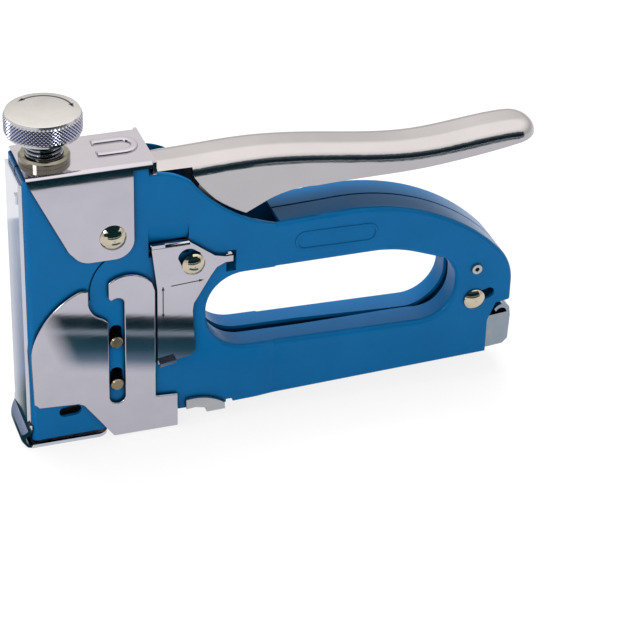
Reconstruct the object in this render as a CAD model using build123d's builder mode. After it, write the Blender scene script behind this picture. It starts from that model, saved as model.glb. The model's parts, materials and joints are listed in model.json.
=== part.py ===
# Hand staple gun with pressed steel body, sprung plunger and squeeze handle.
# Millimetres, nose toward -X, +Z up, sole on Z = 0.
import math
import os

from build123d import *

# Overall frame
nose_x = -87.9            # X of the front edge of the shells
sheet = 1.2               # pressed sheet thickness
seat_gap = 0.05           # gap between pieces fastened together
slide_gap = 0.3           # gap between pieces that slide past each other
pin_fit = 0.05            # radial clearance of a pin in its hole

# Body shells
tower_half = 11.0         # half width over the tower
grip_half = 10.5          # half width over the grip
seam_half = 0.45          # half the seam between the two shells
step_x = 84.0             # where the tower steps in to the grip
step_run = 6.0            # length of that soft step
tower_top = 101.5
rear_x = 170.8
belly_rise = math.radians(1.56)   # climb of the magazine toward the rear
belly_z = 3.7             # magazine line at the nose
hole_corners = (((60.2, 27.6), 15), ((149.9, 25.2), 13), ((149.8, 47.2), 9), ((126.9, 56.0), 45),
                ((60.2, 56.0), 13))   # finger hole: corner and its radius
rim_gap = 2.0             # half the gap between the hole's two flanges at its ends
rim_round = 1.8           # rounding of the hole's rim and the nose
arch_round = 1.4          # rounding of the grip's upper edges
edge_round = 0.9          # small rounding of the tower's other edges

# Handle
pivot = (55.1, 63.7)
handle_half = 8.4
handle_end = 178.2
handle_round = 5.3        # crown's rounding along both sides and the end
handle_corner = 8.0       # corner radius of the handle's end in plan
lever_half = handle_half - sheet - seat_gap
lever_rivet_at = ((66.0, 89.0), (76.0, 89.6))
lever_rivet_d = 2.5
pivot_d = 4.0
squeeze = math.radians(9.5)

# Plunger and adjuster
axis_x = 9.6              # knob, screw, spring and plunger axis
plunger_half = 5.55
plunger_long = 13.8
plunger_wall = 0.9
plunger_floor = 30.0
plunger_top = 64.0
floor_thick = 2.4         # plunger's floor
blade_rivet_z = (40.0, 48.0)
blade_rivet_d = 3.0
blade_thick = 0.9
stud_d = 4.0
spring_d = 8.8            # main spring outside
spring_wire = 1.5
seat_z = 85.0             # underside of the spring seat
seat_thick = 3.0
seat_stub_d = 5.0
screw_d = 12.4
knob_d = 25.2
knob_high = 7.8
knob_roof = 2.8           # solid top of the knob over the screw's post
post_d = 8.0
bush_d = 14.0
bush_rim_d = 16.6

# Top cap and its rivets
cap_top = 103.0
cap_end = 43.0
knob_low = cap_top + 9.4  # underside of the knob
ear_rivet = (28.4, 77.6)
ear_rivet_d = 3.0
ear_head_d = 8.8

# Gate, lock and magazine
gate_pin_x = 29.0
gate_pin_z = (20.9, 37.5)
gate_pin_d = 4.3
plate_in = tower_half + slide_gap
plate_out = plate_in + sheet
lip_bend = 1.6            # outer radius where the lock's lip turns in
mag_half = 7.0
mag_sheet = 1.0
mag_high = 12.4
mag_start = 3.4
mag_end = 161.0
lip_start = 70.0
latch_at = (156.8, 31.3)
latch_far = (162.3, 32.8)
latch_d = 4.0
latch_head_d = 7.6
eyelet_at = (156.9, 43.5)
eyelet_d = 2.8
rod_v = 10.5              # height of the pusher's guide rod above the magazine line
rod_d = 2.5

os.makedirs("parts", exist_ok=True)


def side(y):
    # Side view plane: local x runs back from the nose, local y is up.
    return Plane(origin=(nose_x, y, 0), x_dir=(1, 0, 0), z_dir=(0, -1, 0))


def level(z):
    # Plan view plane at height z, local x runs back from the nose.
    return Plane(origin=(nose_x, 0, z), x_dir=(1, 0, 0), z_dir=(0, 0, 1))


mag_dir = (math.cos(belly_rise), 0, math.sin(belly_rise))


def mag_cut(u, v=0.0):
    # Cross plane of the magazine, u along it and v up: local x is Y, local y is up.
    origin = (nose_x + u * mag_dir[0] - v * mag_dir[2], 0, belly_z + u * mag_dir[2] + v * mag_dir[0])
    return Plane(origin=origin, x_dir=(0, 1, 0), z_dir=mag_dir)


def mag_side(y):
    return Plane(origin=(nose_x, y, belly_z), x_dir=mag_dir, z_dir=(0, -1, 0))


def save(part, name):
    part.label = name
    export_step(part, "parts/" + name + ".step")
    print(name, len(part.solids()), round(part.volume, 1))


def dome_mid(r, h):
    # Middle point of a dome's arc, from its crown: out along the radius and down the axis.
    ball = (r * r + h * h) / (2 * h)
    turn = math.asin(r / ball) / 2
    return ball * math.sin(turn), ball * (1 - math.cos(turn))


def across(at, y):
    # Plane square to the Y axis at a side view point, facing -Y.
    return Plane(origin=(nose_x + at[0], y, at[1]), x_dir=(1, 0, 0), z_dir=(0, -1, 0))


def turning(at):
    # Plan plane through a cross pin's axis: local x is the radius, local y runs along Y.
    return Plane(origin=(nose_x + at[0], 0, at[1]), x_dir=(1, 0, 0), z_dir=(0, 0, 1))


def facing(x, back):
    # Cross plane at x that faces the rear or the nose; local y is up.
    if back:
        return Plane(origin=(nose_x + x, 0, 0), x_dir=(0, 1, 0), z_dir=(1, 0, 0))
    return Plane(origin=(nose_x + x, 0, 0), x_dir=(0, -1, 0), z_dir=(-1, 0, 0))


def cross_pin(at, shank_d, head_d, head_h, near, far, near_rim, far_rim):
    # Pin along Y with a domed head each end; near and far are the heads' undersides.
    with BuildPart() as pin:
        with BuildSketch(turning(at)):
            with BuildLine():
                a = (0, near - near_rim - head_h)
                b = (head_d / 2, near - near_rim)
                c = (head_d / 2, far + far_rim)
                d = (0, far + far_rim + head_h)
                rise, bow = dome_mid(head_d / 2, head_h)
                ThreePointArc(a, (rise, a[1] + bow), b)
                Polyline(b, (head_d / 2, near), (shank_d / 2, near), (shank_d / 2, far),
                         (head_d / 2, far), c)
                ThreePointArc(c, (rise, d[1] - bow), d)
                Line(d, a)
            make_face()
        revolve(axis=Axis((nose_x + at[0], 0, at[1]), (0, 1, 0)))
    return pin.part


def coil(plane, mean_r, wire, long, turns):
    # Plain wound spring that starts on the plane and runs along its normal.
    with BuildPart() as wound:
        with BuildLine() as path:
            Helix(pitch=long / turns, height=long, radius=mean_r, center=plane.origin,
                  direction=plane.z_dir)
        with BuildSketch(Plane(origin=path.line @ 0, z_dir=path.line % 0)):
            Circle(wire / 2)
        sweep(path=path.line, is_frenet=True)
    return wound.part


# Body shells: one pressed blank, mirrored for the far side
with BuildSketch() as hole_face:
    with BuildLine():
        Polyline(*[corner for corner, radius in hole_corners], close=True)
    make_face()
    for corner, radius in hole_corners:
        fillet(hole_face.vertices().sort_by_distance(corner)[0], radius)

with BuildSketch() as body_face:
    with BuildLine():
        Polyline((0, tower_top), (0, 2.9), (26, 3.2), (49, 6.3), (70, 5.75), (162.4, 8.8), (162.4, 21.5),
                 (165.2, 28.2), (rear_x, 29.0), (rear_x, 36.0))
        heel = TangentArc((rear_x, 36.0), (165.6, 49.4), tangent=(0, 1))
        back = TangentArc(heel @ 1, (135.3, 69.5), tangent=heel % 1)
        brow = TangentArc(back @ 1, (107, 73.7), tangent=back % 1)
        TangentArc(brow @ 1, (step_x, 73.0), tangent=brow % 1)
        ThreePointArc((step_x, 73.0), (65.6, 82.2), (54.9, 93.4))
        ThreePointArc((54.9, 93.4), (48.6, 97.0), (41.2, 98.2))
        Polyline((41.2, 98.2), (41.2, tower_top - 0.4), (0, tower_top))
    make_face()

with BuildSketch() as grip_skin:
    add(body_face.sketch)
    add(hole_face.sketch, mode=Mode.SUBTRACT)

with BuildSketch() as tower_skin:
    add(grip_skin.sketch)
    with Locations((step_x / 2, 52)):
        Rectangle(step_x, 140, mode=Mode.INTERSECT)

with BuildSketch() as bow_skin:
    add(grip_skin.sketch)
    with Locations((step_x + 50, 52)):
        Rectangle(100, 140, mode=Mode.INTERSECT)

with BuildSketch() as grip_void:
    add(body_face.sketch)
    offset(amount=-sheet, mode=Mode.REPLACE)
    add(offset(hole_face.sketch, sheet, mode=Mode.PRIVATE), mode=Mode.SUBTRACT)

mouth_end = step_x - step_run - sheet
with BuildSketch() as tower_void:
    add(grip_void.sketch)
    with Locations((mouth_end / 2, 52)):
        Rectangle(mouth_end, 140, mode=Mode.INTERSECT)

with BuildPart() as grip_block:
    with BuildSketch(side(-seam_half)):
        add(bow_skin.sketch)
    extrude(amount=grip_half - seam_half)
    face_edges = grip_block.edges().filter_by_position(Axis.Y, -grip_half - 0.01, -grip_half + 0.01)
    rim_edges = [e for e in face_edges if nose_x + step_x + 0.1 < (e @ 0.5).X < nose_x + 152
                 and 24 < (e @ 0.5).Z < 57]
    fillet(rim_edges, rim_round)
    face_edges = grip_block.edges().filter_by_position(Axis.Y, -grip_half - 0.01, -grip_half + 0.01)
    arch_edges = [e for e in face_edges if (e @ 0.5).X > nose_x + step_x + 0.1 and (e @ 0.5).Z > 30
                  and ((e @ 0.5).Z > 60 or (e @ 0.5).X > nose_x + 168)]
    fillet(arch_edges, arch_round)

with BuildPart() as tower_block:
    with BuildSketch(side(-seam_half)):
        add(tower_skin.sketch)
    extrude(amount=tower_half - seam_half)
    face_edges = tower_block.edges().filter_by_position(Axis.Y, -tower_half - 0.01, -tower_half + 0.01)
    rim_edges = [e for e in face_edges if nose_x + 59 < (e @ 0.5).X < nose_x + step_x - 0.1
                 and 26 < (e @ 0.5).Z < 59]
    fillet(rim_edges, rim_round)
    nose_edge = tower_block.edges().filter_by(Axis.Z).filter_by_position(Axis.X, nose_x, nose_x + 0.01)
    fillet(nose_edge.sort_by(Axis.Y)[0], rim_round)
    face_edges = tower_block.edges().filter_by_position(Axis.Y, -tower_half - 0.01, -tower_half + 0.01)
    fillet([e for e in face_edges if (e @ 0.5).Z > 73 and (e @ 0.5).X > nose_x + 41], edge_round)
    # Soft step down to the grip, above and below the finger hole
    with BuildSketch(level(0)):
        with BuildLine():
            Polyline((step_x - step_run, -tower_half), (step_x, -grip_half), (step_x, -tower_half),
                     close=True)
        make_face()
    extrude(amount=tower_top, mode=Mode.SUBTRACT)

with BuildPart() as blank:
    add(grip_block.part)
    add(tower_block.part)
    with BuildSketch(side(-seam_half)):
        add(grip_void.sketch)
    extrude(amount=grip_half - sheet - seam_half, mode=Mode.SUBTRACT)
    with BuildSketch(side(-seam_half)):
        add(tower_void.sketch)
    extrude(amount=tower_half - sheet - seam_half, mode=Mode.SUBTRACT)
    # Tower top and handle mouth have no flange
    with BuildSketch(side(0)):
        with BuildLine():
            Polyline((sheet, 96), (41, 90), (48, 64), (mouth_end, 64), (mouth_end, 104), (sheet, 104),
                     close=True)
        make_face()
    extrude(amount=tower_half - sheet, mode=Mode.SUBTRACT)
    with BuildSketch(side(0)):
        with Locations(((mouth_end + step_x + 1.6) / 2, 84)):
            Rectangle(step_x + 1.6 - mouth_end, 40)
    extrude(amount=grip_half - sheet, mode=Mode.SUBTRACT)
    # Belly is open for the magazine
    with BuildSketch(side(0)):
        with BuildLine():
            Polyline((sheet, -1), (164, -1), (164, 12), (sheet, 9), close=True)
        make_face()
    extrude(amount=mag_half + slide_gap, mode=Mode.SUBTRACT)
    with BuildSketch(side(0)):
        with BuildLine():
            Polyline((157, 7.0), (164, 7.0), (164, 22.4), (167, 27.4), (157, 25.5), close=True)
        make_face()
    extrude(amount=grip_half - sheet, mode=Mode.SUBTRACT)
    # Flanges round the finger hole stand apart at its two ends
    with BuildSketch(level(23)):
        with BuildLine():
            Polyline((57, -rim_gap), (96, -rim_gap), (130, -seam_half), (130, 0), (57, 0), close=True)
        make_face()
        with BuildLine():
            Polyline((136, -seam_half), (144, -rim_gap), (153, -rim_gap), (153, 0), (136, 0), close=True)
        make_face()
    extrude(amount=20, mode=Mode.SUBTRACT)
    # Pressed line from the cap's ear down to the gate
    with BuildSketch(side(-tower_half + 0.5)):
        with BuildLine():
            Spline((33.0, 70.2), (25.6, 68.6), (21.6, 63.2), (20.4, 54.8))
        trace(line_width=0.6)
    extrude(amount=1, mode=Mode.SUBTRACT)
    # Pin, rivet and slot holes in the side wall
    with BuildSketch(side(0)):
        with Locations(pivot):
            Circle(pivot_d / 2 + pin_fit)
        with Locations(ear_rivet):
            Circle(ear_rivet_d / 2 + pin_fit)
        with Locations(eyelet_at):
            Circle(eyelet_d / 2 + pin_fit)
        for z in gate_pin_z:
            with Locations((gate_pin_x, z + 2.0)):
                SlotCenterToCenter(4.0, gate_pin_d + 2 * pin_fit, rotation=90)
        with Locations((13.1, 12.6)):
            SlotOverall(7.7, 3.9, rotation=2)
        mid = ((latch_at[0] + latch_far[0]) / 2, (latch_at[1] + latch_far[1]) / 2)
        run = math.hypot(latch_far[0] - latch_at[0], latch_far[1] - latch_at[1])
        lean = math.degrees(math.atan2(latch_far[1] - latch_at[1], latch_far[0] - latch_at[0]))
        with Locations(mid):
            SlotCenterToCenter(run, latch_d + 2 * pin_fit, rotation=lean)
        with Locations((68.4, 5.7)):
            Rectangle(2.4, 2.4)
    extrude(amount=tower_half + 1, mode=Mode.SUBTRACT)

with BuildPart() as left_shell:
    add(blank.part)
    # Window for the lock's lip and slot for its tongue
    with BuildSketch(side(0)):
        with Locations((47.2, 70.1)):
            Rectangle(13.6, 5.4)
        with Locations((68.5, 61.7)):
            Rectangle(3.4, 8.0)
    extrude(amount=tower_half + 1, mode=Mode.SUBTRACT)
    # Wall dips in toward the window's top edge
    with BuildSketch(facing(40.4, True)):
        with BuildLine():
            Polyline((-tower_half, 78.4), (-tower_half, 72.7), (-tower_half + 0.9, 72.7), close=True)
        make_face()
    extrude(amount=13.6, mode=Mode.SUBTRACT)

with BuildPart() as right_shell:
    add(blank.part.mirror(Plane.XZ))

save(left_shell.part, "left_shell")
save(right_shell.part, "right_shell")

# Top cap: folded saddle with two ears and a turned-down rear lip
cap_in = tower_half + seat_gap
cap_out = cap_in + sheet
with BuildPart() as top_cap:
    with BuildSketch(side(cap_out)):
        with BuildLine():
            Polyline((0.8, cap_top), (0.8, 101.9), (13.9, 74.2), (18, 69.5), (35.4, 69.5), (35.4, 101.0),
                     (cap_end, 101.0), (cap_end, cap_top), close=True)
        make_face()
    extrude(amount=2 * cap_out)
    low = top_cap.edges().filter_by(Axis.Y).sort_by(Axis.Z)
    fillet(low[:2], 6.5)
    fillet(top_cap.edges().filter_by(Axis.Y).filter_by_position(Axis.Z, 74.1, 74.3), 6)
    fillet(top_cap.edges().filter_by(Axis.X).group_by(Axis.Z)[-1], 1.6)
    with BuildSketch(side(cap_in)):
        with Locations((cap_end / 2, cap_top - sheet - 25)):
            Rectangle(cap_end + 10, 50)
    extrude(amount=2 * cap_in, mode=Mode.SUBTRACT)
    with BuildSketch(side(cap_out)):
        with Locations((cap_end - sheet / 2, 100.8)):
            Rectangle(sheet, 4.4)
    extrude(amount=2 * cap_out)
    # Raised horseshoe on the roof
    with BuildSketch(level(cap_top)):
        with Locations((31.5, 1.6)):
            SlotOverall(18, 10.8)
            SlotOverall(13.0, 5.8, mode=Mode.SUBTRACT)
        with Locations((23.5, 1.6)):
            Rectangle(5, 12, mode=Mode.SUBTRACT)
    extrude(amount=0.8)
    bead = top_cap.faces().filter_by_position(Axis.Z, cap_top + 0.7, cap_top + 0.9)
    fillet(bead.edges(), 0.7)
    with BuildSketch(level(90)):
        with Locations((axis_x, 0)):
            Circle(bush_d / 2 + seat_gap)
    extrude(amount=20, mode=Mode.SUBTRACT)
    with BuildSketch(side(20)):
        with Locations(ear_rivet):
            Circle(ear_rivet_d / 2 + pin_fit)
    extrude(amount=40, mode=Mode.SUBTRACT)
save(top_cap.part, "top_cap")

# Ear rivets: a dome outside, a set tail inside
with BuildPart() as cap_rivets:
    with BuildSketch(turning(ear_rivet)):
        with BuildLine():
            head_y = -cap_out - seat_gap
            tail_y = -tower_half + sheet + seat_gap
            tip = head_y - 2.3
            rise, bow = dome_mid(ear_head_d / 2, 2.0)
            Polyline((0, tip), (0, tail_y + 1.0), (2.2, tail_y + 1.0), (2.2, tail_y),
                     (ear_rivet_d / 2, tail_y), (ear_rivet_d / 2, head_y), (ear_head_d / 2, head_y),
                     (ear_head_d / 2, head_y - 0.3))
            ThreePointArc((ear_head_d / 2, head_y - 0.3), (rise, tip + bow), (0, tip))
        make_face()
    revolve(axis=Axis((nose_x + ear_rivet[0], 0, ear_rivet[1]), (0, 1, 0)))
    mirror(about=Plane.XZ)
save(cap_rivets.part, "cap_rivets")

# Threaded bush set in the cap
with BuildPart() as cap_bush:
    with BuildSketch(level(cap_top + seat_gap)):
        with Locations((axis_x, 0)):
            Circle(bush_rim_d / 2)
    extrude(amount=2.4)
    chamfer(cap_bush.edges().group_by(Axis.Z)[-1], 0.7)
    with BuildSketch(level(cap_top - 5.5)):
        with Locations((axis_x, 0)):
            Circle(bush_d / 2)
    extrude(amount=5.6)
    with BuildSketch(level(cap_top - 6)):
        with Locations((axis_x, 0)):
            Circle(screw_d / 2 + pin_fit)
    extrude(amount=12, mode=Mode.SUBTRACT)
save(cap_bush.part, "cap_bush")

# Nose plate: front face, flared toe and sole strip in one bent sheet
with BuildPart() as front_plate:
    with BuildSketch(side(10.9)):
        with BuildLine():
            Polyline((-seat_gap, 9.0), (-seat_gap, 6.2), (-2.0, 3.4), (-2.0, 1.9), (-1.2, sheet),
                     (26.5, sheet), (26.5, 0), (-1.6, 0), (-3.2, 1.4), (-3.2, 3.7),
                     (-sheet - seat_gap, 6.6), (-sheet - seat_gap, 9.0), close=True)
        make_face()
    extrude(amount=21.8)
    fillet(front_plate.edges().filter_by(Axis.Y).filter_by_position(Axis.Z, 0, 7), 0.45)
    # Toe's corners are rounded in plan
    with BuildSketch(level(0)):
        with Locations((11.6, 0)):
            RectangleRounded(29.8, 22, 4.5)
    extrude(amount=9, mode=Mode.INTERSECT)
    with BuildSketch(facing(-seat_gap, False)):
        with Locations((0, 53.5)):
            Rectangle(18.4, 92)
    extrude(amount=sheet)
    # Driving slot in the sole and the open front under the blade
    with BuildSketch(level(-1)):
        with Locations((2.2, 0)):
            Rectangle(2.4, 12.4)
    extrude(amount=4, mode=Mode.SUBTRACT)
    # Small lug near the top
    with BuildSketch(facing(-sheet - seat_gap, False)):
        with Locations((7.2, 94.0)):
            Rectangle(2.6, 3.0)
    extrude(amount=0.7)
save(front_plate.part, "front_plate")

# Fixed pins
pivot_near = plate_out + slide_gap
save(cross_pin(pivot, pivot_d, 7.8, 1.7, -pivot_near, tower_half + seat_gap, 0.3,
               pivot_near + 0.3 - tower_half - seat_gap), "pivot_pin")

with BuildPart() as guide_pins:
    for z in gate_pin_z:
        with BuildSketch(across((gate_pin_x, z), plate_out + 0.2)):
            Circle(gate_pin_d / 2)
        extrude(amount=2 * plate_out + 0.4)
    chamfer(guide_pins.faces().filter_by(Axis.Y).edges(), 0.4)
save(guide_pins.part, "guide_pins")

with BuildPart() as rear_eyelet:
    reach = grip_half + seat_gap + 0.9
    with BuildSketch(across(eyelet_at, reach)):
        Circle(eyelet_d / 2)
    extrude(amount=2 * reach)
    for y in (reach, -grip_half - seat_gap):
        with BuildSketch(across(eyelet_at, y)):
            Circle(eyelet_d / 2 + 0.4)
        extrude(amount=0.9)
    with BuildSketch(across(eyelet_at, 20)):
        Circle(0.8)
    extrude(amount=40, mode=Mode.SUBTRACT)
save(rear_eyelet.part, "rear_eyelet")

# Guides that keep the plunger straight
with BuildPart() as plunger_guides:
    with BuildSketch(level(33)):
        with Locations((5.2, (plunger_half + slide_gap + tower_half - sheet - seat_gap) / 2)):
            Rectangle(4.8, tower_half - sheet - seat_gap - plunger_half - slide_gap)
    extrude(amount=19)
    mirror(about=Plane.XZ)
save(plunger_guides.part, "plunger_guides")

# Bumper and the bracket that carries it between the shells
with BuildPart() as bumper_bracket:
    with BuildSketch(level(21)):
        with Locations((axis_x, 0)):
            Rectangle(13.6, 2 * (tower_half - sheet - seat_gap))
    extrude(amount=6)
    with BuildSketch(level(21 + sheet)):
        with Locations((axis_x, 0)):
            Rectangle(14, 2 * (tower_half - 2 * sheet - seat_gap))
    extrude(amount=6, mode=Mode.SUBTRACT)
save(bumper_bracket.part, "bumper_bracket")

with BuildPart() as bumper:
    with BuildSketch(level(21 + sheet + seat_gap)):
        with Locations((axis_x, 0)):
            RectangleRounded(12.6, 10.6, 2)
    extrude(amount=plunger_floor - 0.35 - 21 - sheet - seat_gap)
    chamfer(bumper.edges().group_by(Axis.Z)[-1], 0.8)
save(bumper.part, "bumper")

# Plunger, its studs and the driver blade
with BuildPart() as plunger:
    with BuildSketch(level(plunger_floor)):
        with Locations((axis_x, 0)):
            RectangleRounded(plunger_long, 2 * plunger_half, 1.2)
    extrude(amount=plunger_top - plunger_floor)
    with BuildSketch(level(plunger_floor + floor_thick)):
        with Locations((axis_x, 0)):
            Rectangle(plunger_long - 2 * plunger_wall, 2 * (plunger_half - plunger_wall))
    extrude(amount=plunger_top, mode=Mode.SUBTRACT)
    stud_z = pivot[1] - (pivot[0] - axis_x) * math.tan(squeeze / 2)
    with BuildSketch(side(20)):
        with Locations((axis_x, stud_z)):
            Circle(stud_d / 2)
    extrude(amount=40, mode=Mode.SUBTRACT)
    with BuildSketch(facing(0, True)):
        with Locations(*[(0, z) for z in blade_rivet_z]):
            Circle(blade_rivet_d / 2)
    extrude(amount=6, mode=Mode.SUBTRACT)
save(plunger.part, "plunger")

with BuildPart() as lift_studs:
    with BuildSketch(across((axis_x, stud_z), -plunger_half + plunger_wall)):
        Circle(stud_d / 2 - 0.01)
    extrude(amount=lever_half + 0.5 - plunger_half + plunger_wall)
    mirror(about=Plane.XZ)
save(lift_studs.part, "lift_studs")

blade_x = axis_x - plunger_long / 2 - seat_gap
with BuildPart() as driver_blade:
    with BuildSketch(facing(blade_x, False)):
        with BuildLine():
            Polyline((-5.4, 2.0), (5.4, 2.0), (5.4, 34), (4.6, 36), (4.6, 53), (-4.6, 53), (-4.6, 36),
                     (-5.4, 34), close=True)
        make_face()
        with Locations(*[(0, z) for z in blade_rivet_z]):
            Circle(blade_rivet_d / 2, mode=Mode.SUBTRACT)
    extrude(amount=blade_thick)
save(driver_blade.part, "driver_blade")

with BuildPart() as blade_rivets:
    with BuildSketch(facing(blade_x - blade_thick, True)):
        with Locations(*[(0, z) for z in blade_rivet_z]):
            Circle(blade_rivet_d / 2 - 0.01)
    extrude(amount=blade_thick + seat_gap + plunger_wall + seat_gap)
    with BuildSketch(facing(axis_x - plunger_long / 2 + plunger_wall + seat_gap, True)):
        with Locations(*[(0, z) for z in blade_rivet_z]):
            Circle(blade_rivet_d / 2 + 0.7)
    extrude(amount=0.7)
save(blade_rivets.part, "blade_rivets")

# Spring between plunger and adjuster
spring_low = plunger_floor + floor_thick + spring_wire / 2 + 0.1
spring_high = seat_z - spring_wire / 2 - 0.1
main_spring = coil(Plane(origin=(nose_x + axis_x, 0, spring_low)), (spring_d - spring_wire) / 2,
                   spring_wire, spring_high - spring_low, 13)
save(main_spring, "main_spring")

with BuildPart() as spring_seat:
    with BuildSketch(level(seat_z)):
        with Locations((axis_x, 0)):
            Circle(5.6)
    extrude(amount=seat_thick)
    with BuildSketch(level(seat_z - 4)):
        with Locations((axis_x, 0)):
            Circle(seat_stub_d / 2)
    extrude(amount=4.0)
    chamfer(spring_seat.edges().group_by(Axis.Z)[0], 0.6)
    with BuildSketch(level(seat_z + 0.8)):
        with Locations((axis_x, 0)):
            Circle(seat_stub_d / 2 + pin_fit)
    extrude(amount=4, mode=Mode.SUBTRACT)
save(spring_seat.part, "spring_seat")

with BuildPart() as adjuster_screw:
    with BuildSketch(level(seat_z + seat_thick + seat_gap)):
        with Locations((axis_x, 0)):
            Circle(screw_d / 2)
    extrude(amount=knob_low - seat_z - seat_thick - seat_gap)
    chamfer(adjuster_screw.edges().group_by(Axis.Z)[0], 1.0)
    with BuildSketch(level(seat_z + 1.0)):
        with Locations((axis_x, 0)):
            Circle(seat_stub_d / 2)
    extrude(amount=seat_thick - 0.8)
    with BuildSketch(level(knob_low)):
        with Locations((axis_x, 0)):
            Circle(post_d / 2)
    extrude(amount=knob_high - knob_roof)
save(adjuster_screw.part, "adjuster_screw")

with BuildPart() as adjuster_knob:
    with BuildSketch(level(knob_low + seat_gap)):
        with Locations((axis_x, 0)):
            Circle(knob_d / 2)
    extrude(amount=knob_high - seat_gap)
    chamfer(adjuster_knob.edges().group_by(Axis.Z)[-1], 0.6)
    chamfer(adjuster_knob.edges().group_by(Axis.Z)[0], 1.0)
    with BuildSketch(level(knob_low)):
        with Locations((axis_x, 0)):
            Circle(post_d / 2 + 0.01)
    extrude(amount=knob_high - knob_roof + 0.1, mode=Mode.SUBTRACT)
save(adjuster_knob.part, "adjuster_knob")

# Squeeze handle: crowned channel with two lobes that dive between the shells
crest_ends = [(1, 0.0), (1, -0.3)]
crest = [(44.7, 98.4), (79, 99.2), (106, 96.5), (137, 93.5), (165, 95.8), (handle_end, 94.4)]
rim = [(handle_end, 90.5), (165, 88.2), (150.7, 86.2), (136, 84.8), (120, 84.4), (98.7, 84.0)]


def handle_side():
    # Side outline of the channel.
    with BuildSketch() as face:
        with BuildLine():
            Spline(crest, tangents=crest_ends)
            Line(crest[-1], rim[0])
            Spline(rim, tangents=[(-1, -0.15), (-1, -0.05)])
            ThreePointArc(rim[-1], (87.4, 83.2), (82.0, 81.4))
            Line((82.0, 81.4), (73.0, 76.9))
            ThreePointArc((73.0, 76.9), (64.5, 83.6), (56.2, 94.0))
            Polyline((56.2, 94.0), (56.2, 96.6), (44.7, 96.6), crest[0])
        make_face()
    return face.sketch


def handle_plan(half):
    with BuildSketch() as face:
        with BuildLine():
            end = handle_end - handle_half + half
            Polyline((end, half), (40, half), (40, -half), (end, -half), close=True)
        make_face()
        fillet(face.vertices().sort_by(Axis.X)[-2:], handle_corner - handle_half + half)
    return face.sketch


def handle_block(half, drop):
    # Deep block under the crest, its crown rounded along both sides and the end.
    with BuildPart() as block:
        with BuildSketch(side(0)):
            with BuildLine():
                Spline([(x, z - drop) for x, z in crest], tangents=crest_ends)
                Polyline((handle_end, crest[-1][1] - drop), (handle_end, 60), (crest[0][0], 60),
                         (crest[0][0], crest[0][1] - drop))
            make_face()
        extrude(amount=half, both=True)
        with BuildSketch(level(0)):
            add(handle_plan(half))
        extrude(amount=140, mode=Mode.INTERSECT)
        top_face = block.faces().sort_by(Axis.Z)[-1]
        fillet([e for e in top_face.edges() if (e @ 0.5).X > nose_x + 45], handle_round - drop)
    return block.part


with BuildPart() as handle:
    add(handle_block(handle_half, 0))
    with BuildSketch(side(handle_half)):
        add(handle_side())
    extrude(amount=2 * handle_half, mode=Mode.INTERSECT)
    add(handle_block(handle_half - sheet, sheet), mode=Mode.SUBTRACT)
    with BuildSketch(side(handle_half - 0.5)):
        with Locations(*lever_rivet_at):
            Circle(lever_rivet_d / 2)
    extrude(amount=2 * (handle_half - 0.5), mode=Mode.SUBTRACT)
save(handle.part, "handle")

# Lift lever: inner fork fixed under the handle, rides on the pivot pin
lever_in = lever_half - sheet
lever_roof = 93.0
with BuildPart() as lift_lever:
    with BuildSketch(side(lever_half)):
        with BuildLine():
            Polyline((5.4, 55.6), (5.4, 63.4), (36, 66.8), (46.5, 67.8), (53, 76), (59.0, 91.0),
                     (60.5, lever_roof), (80, lever_roof), (80, 86.5), (66, 79.5), (62.3, 64.5))
            ThreePointArc((62.3, 64.5), (57.5, 56.7), (48.3, 59.2))
            Polyline((48.3, 59.2), (38, 60.0), (5.4, 55.6))
        make_face()
    extrude(amount=2 * lever_half)
    with BuildSketch(side(lever_in)):
        with Locations((50, 70)):
            Rectangle(120, 2 * (lever_roof - sheet - 70))
    extrude(amount=2 * lever_in, mode=Mode.SUBTRACT)
    with BuildSketch(side(20)):
        with Locations(pivot):
            Circle(pivot_d / 2 + pin_fit)
        with Locations((axis_x - 3, stud_z)):
            SlotCenterToCenter(7.4, stud_d + 2 * slide_gap)
        with Locations(*lever_rivet_at):
            Circle(lever_rivet_d / 2)
    extrude(amount=40, mode=Mode.SUBTRACT)
save(lift_lever.part, "lift_lever")

# Rivets that fix the lever to the handle's cheeks
with BuildPart() as lever_rivets:
    with BuildSketch(side(-lever_in + seat_gap + 0.6)):
        with Locations(*lever_rivet_at):
            Circle(lever_rivet_d / 2 + 0.95)
    extrude(amount=0.6)
    with BuildSketch(side(-lever_in + seat_gap)):
        with Locations(*lever_rivet_at):
            Circle(lever_rivet_d / 2 - 0.01)
    extrude(amount=sheet + 0.7)
    mirror(about=Plane.XZ)
save(lever_rivets.part, "lever_rivets")

return_half = 4.6
return_plane = Plane(origin=(nose_x + pivot[0], -return_half, pivot[1]), x_dir=(1, 0, 0), z_dir=(0, 1, 0))
return_spring = coil(return_plane, 3.2, 1.2, 2 * return_half, 5)
save(return_spring, "return_spring")

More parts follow.
